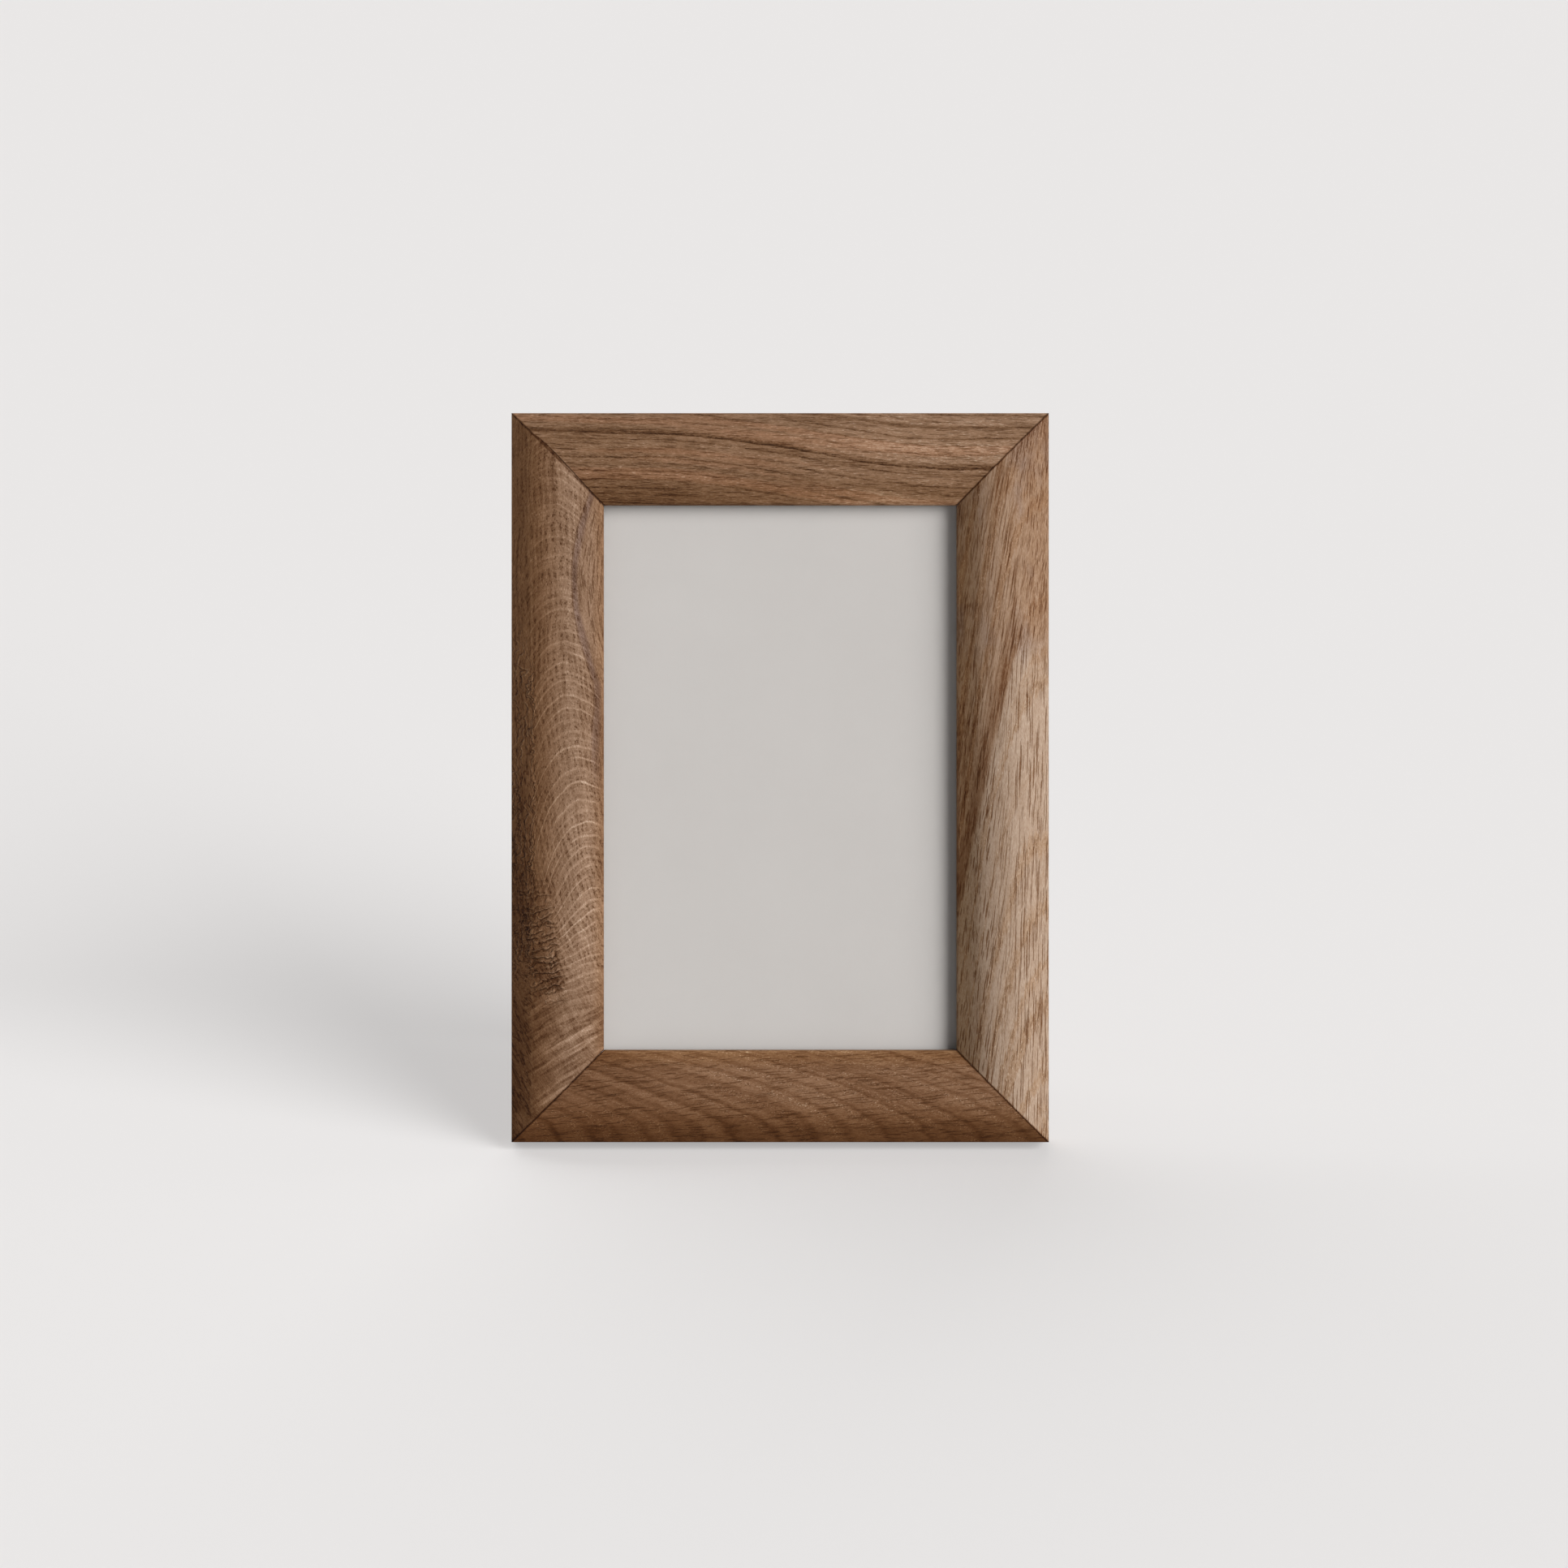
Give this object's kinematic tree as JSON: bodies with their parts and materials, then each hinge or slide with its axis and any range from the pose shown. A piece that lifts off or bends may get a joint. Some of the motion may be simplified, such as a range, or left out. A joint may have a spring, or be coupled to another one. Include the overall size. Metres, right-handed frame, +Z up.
{
  "type": "wooden picture frame",
  "caption": "Mitred oak picture frame with a rounded ridge, glass and blank insert, standing on a folding easel leg, with swivelling back clips and a sawtooth hanger.",
  "frame": {"origin": "centre of the bounding box's base, on the surface that the frame stands on", "axes": "+Z up, the long way of the frame; the picture faces -Y and leans back 14.6 degrees towards +Y, where the leg stands; +X to the right as seen from the front"},
  "size_m": [0.14, 0.0798, 0.1864],
  "materials": {
    "oak": "matte",
    "glass": "gloss",
    "insert_paper": "matte",
    "filler_card": "matte",
    "hardboard": "matte",
    "zinc_plate": "satin",
    "brass": "satin"
  },
  "bodies": {
    "frame": {"bottom_rail": "oak", "right_rail": "oak", "top_rail": "oak", "left_rail": "oak", "mitre_wedge_lower_left_1": "zinc_plate", "mitre_wedge_lower_left_2": "zinc_plate", "mitre_wedge_lower_right_1": "zinc_plate", "mitre_wedge_lower_right_2": "zinc_plate", "mitre_wedge_upper_right_1": "zinc_plate", "mitre_wedge_upper_right_2": "zinc_plate", "mitre_wedge_upper_left_1": "zinc_plate", "mitre_wedge_upper_left_2": "zinc_plate", "glass_pane": "glass", "paper_insert": "insert_paper", "filler_card": "filler_card", "back_board": "hardboard", "clip_screw_lower_left": "zinc_plate", "clip_screw_lower_right": "zinc_plate", "clip_screw_upper_right": "zinc_plate", "clip_screw_upper_left": "zinc_plate", "sawtooth_hanger": "zinc_plate", "hanger_nail_left": "zinc_plate", "hanger_nail_right": "zinc_plate", "back_rivet_left": "brass", "back_rivet_right": "brass", "fixed_hinge_leaf": "zinc_plate", "hinge_pin": "zinc_plate"},
    "leg": {"leg_board": "hardboard", "moving_hinge_leaf": "zinc_plate", "leg_rivet_left": "brass", "leg_rivet_right": "brass"},
    "lower_left_clip": {"swivel_clip_lower_left": "zinc_plate"},
    "lower_right_clip": {"swivel_clip_lower_right": "zinc_plate"},
    "upper_right_clip": {"swivel_clip_upper_right": "zinc_plate"},
    "upper_left_clip": {"swivel_clip_upper_left": "zinc_plate"}
  },
  "joints": [
    {"name": "leg_fold", "type": "hinge", "parent": "frame", "child": "leg", "pos_m": [0, 0.01245, 0.14267], "axis": [-1, 0, 0], "range_deg": [0, 25]},
    {"name": "lower_left_clip_turn", "type": "hinge", "parent": "frame", "child": "lower_left_clip", "pos_m": [-0.0593, -0.01439, 0.04633], "axis": [0, 0.9677, -0.252], "continuous": true},
    {"name": "lower_right_clip_turn", "type": "hinge", "parent": "frame", "child": "lower_right_clip", "pos_m": [0.0593, -0.01439, 0.04633], "axis": [0, 0.9677, -0.252], "continuous": true},
    {"name": "upper_right_clip_turn", "type": "hinge", "parent": "frame", "child": "upper_right_clip", "pos_m": [0.0593, 0.00929, 0.13729], "axis": [0, 0.9677, -0.252], "continuous": true},
    {"name": "upper_left_clip_turn", "type": "hinge", "parent": "frame", "child": "upper_left_clip", "pos_m": [-0.0593, 0.00929, 0.13729], "axis": [0, 0.9677, -0.252], "continuous": true}
  ]
}
